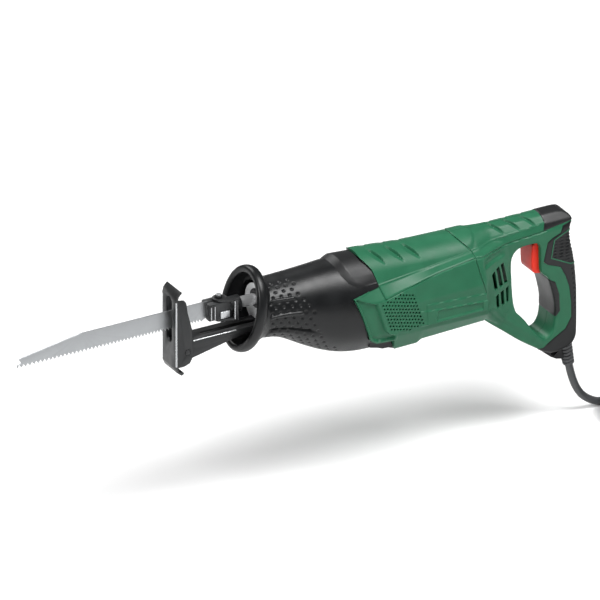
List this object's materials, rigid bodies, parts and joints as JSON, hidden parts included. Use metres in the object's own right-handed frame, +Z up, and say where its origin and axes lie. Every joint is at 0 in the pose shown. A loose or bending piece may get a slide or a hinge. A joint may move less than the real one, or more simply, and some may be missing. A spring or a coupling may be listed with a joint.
{
  "type": "reciprocating saw",
  "caption": "Corded reciprocating saw with a slotted tilting shoe, quick blade clamp, guarded nose boot, motor housing, closed D-handle with a trigger, and a mains cord with a plug.",
  "frame": {"origin": "centre of the hand grip of the D-handle", "axes": "+X along the tool from the blade to the handle, +Y across the tool, +Z up, blade upright with its teeth down"},
  "size_m": [0.7864, 0.1438, 0.2382],
  "materials": {
    "blade_steel": "satin ground steel",
    "dark_steel": "blackened steel, satin",
    "bright_steel": "bright plated steel",
    "chrome_rod": "ground and chromed",
    "cast_aluminium": "die cast",
    "bronze": "sintered bronze",
    "gear_steel": "hardened, oiled",
    "lamination": "stacked laminations",
    "copper": "enamelled copper",
    "carbon": "pressed carbon",
    "green_plastic": "moulded, fine satin grain",
    "black_rubber": "soft grip, dimpled",
    "black_plastic": "smooth satin",
    "red_plastic": "moulded, semi-gloss",
    "seal_rubber": "moulded lip seal",
    "inner_plastic": "glass-filled plastic",
    "cord_rubber": "smooth matt jacket",
    "plug_brass": "nickel-plated brass"
  },
  "bodies": {
    "housing": {"front_bush": "bronze", "rear_bush": "bronze", "plunger_seal": "seal_rubber", "arm_lock_screw": "bright_steel", "gear_housing": "cast_aluminium", "gear_housing_cover": "cast_aluminium", "gear_housing_screws": "bright_steel", "gear_bearing_lower": "bright_steel", "gear_bearing_upper": "bright_steel", "front_motor_bearing": "bright_steel", "rear_motor_bearing": "bright_steel", "bearing_plate": "inner_plastic", "stator_core": "lamination", "field_coils": "copper", "brush_holders": "plug_brass", "carbon_brushes": "carbon", "brush_springs": "bright_steel", "nose_boot": "black_rubber", "gearbox_collar": "black_plastic", "motor_housing_left": "green_plastic", "motor_housing_right": "green_plastic", "top_cover": "green_plastic", "handle_left": "green_plastic", "handle_right": "green_plastic", "top_cap": "black_plastic", "rear_grip": "black_rubber", "front_grip_pad": "black_rubber", "switch_body": "inner_plastic", "trigger_spring": "bright_steel", "capacitor": "inner_plastic", "housing_screws": "bright_steel", "cord_clamp": "inner_plastic", "strain_relief": "cord_rubber", "cord_tail": "cord_rubber", "plug_lead": "cord_rubber", "cord_coil": "cord_rubber", "plug_body": "cord_rubber", "plug_pins": "plug_brass"},
    "ram": {"plunger": "chrome_rod", "yoke": "gear_steel", "blade": "blade_steel", "clamp_body": "dark_steel", "lever_pin": "dark_steel", "clamp_plate": "bright_steel", "cross_pin": "dark_steel"},
    "clamp_lever": {"clamp_lever": "dark_steel"},
    "shoe_arm": {"shoe_arm": "dark_steel"},
    "shoe": {"shoe_plate": "dark_steel", "shoe_pivot_pin": "dark_steel"},
    "crank": {"crown_gear": "gear_steel", "gear_shaft": "gear_steel", "crank_roller": "gear_steel", "counterweight": "gear_steel"},
    "armature": {"armature_shaft": "gear_steel", "pinion": "gear_steel", "armature_core": "lamination", "armature_windings": "copper", "commutator": "copper", "fan": "inner_plastic"},
    "trigger": {"trigger": "red_plastic"}
  },
  "joints": [
    {"name": "ram_slide", "type": "slide", "parent": "housing", "child": "ram", "axis": [1, 0, 0], "range_m": [-0.014, 0.014]},
    {"name": "clamp_lever_turn", "type": "hinge", "parent": "ram", "child": "clamp_lever", "pos_m": [-0.362, 0, 0.07], "axis": [0, 0, -1], "range_deg": [0, 35], "stiffness_Nm_per_rad": 0.05, "springref_deg": -11.46},
    {"name": "shoe_arm_slide", "type": "slide", "parent": "housing", "child": "shoe_arm", "axis": [1, 0, 0], "range_m": [-0.02, 0]},
    {"name": "shoe_tilt", "type": "hinge", "parent": "shoe_arm", "child": "shoe", "pos_m": [-0.402, 0, 0.039], "axis": [0, 1, 0], "range_deg": [-20, 12]},
    {"name": "crank_spin", "type": "hinge", "parent": "housing", "child": "crank", "pos_m": [-0.236, 0, 0.03], "axis": [0, 0, 1], "continuous": true},
    {"name": "armature_spin", "type": "hinge", "parent": "housing", "child": "armature", "pos_m": [-0.15, 0, 0.042], "axis": [1, 0, 0], "continuous": true},
    {"name": "trigger_pull", "type": "slide", "parent": "housing", "child": "trigger", "axis": [1, 0, 0], "range_m": [0, 0.006], "stiffness_N_per_m": 400}
  ],
  "couplings": [
    {"joint": "armature_spin", "follows": "crank_spin", "ratio": -6}
  ]
}
